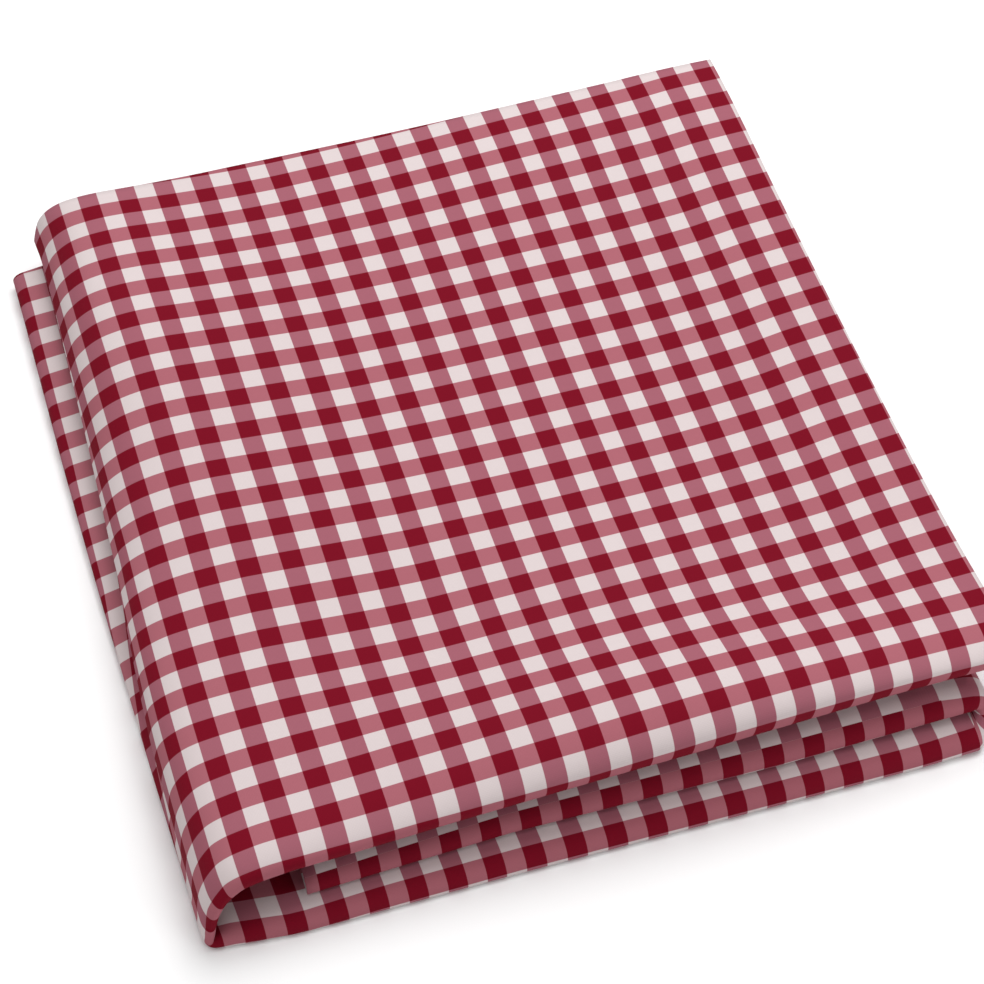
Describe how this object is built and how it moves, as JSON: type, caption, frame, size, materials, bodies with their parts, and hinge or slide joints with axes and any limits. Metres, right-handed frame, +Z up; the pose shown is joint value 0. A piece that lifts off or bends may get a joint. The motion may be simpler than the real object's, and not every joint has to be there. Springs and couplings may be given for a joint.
{
  "type": "folded gingham fabric",
  "caption": "Length of red and white gingham cloth, doubled along its front edge and rolled over into a soft flat packet.",
  "frame": {"origin": "bottom centre of the packet's box, on the surface that it rests on", "axes": "+X runs right along the front fold, +Y runs from the front fold to the cut back edges, +Z up through the layers"},
  "size_m": [0.2484, 0.2734, 0.0329],
  "materials": {
    "gingham": "matt plain weave, red and white check"
  },
  "bodies": {
    "root": {"folded_cloth": "gingham"}
  },
  "joints": []
}
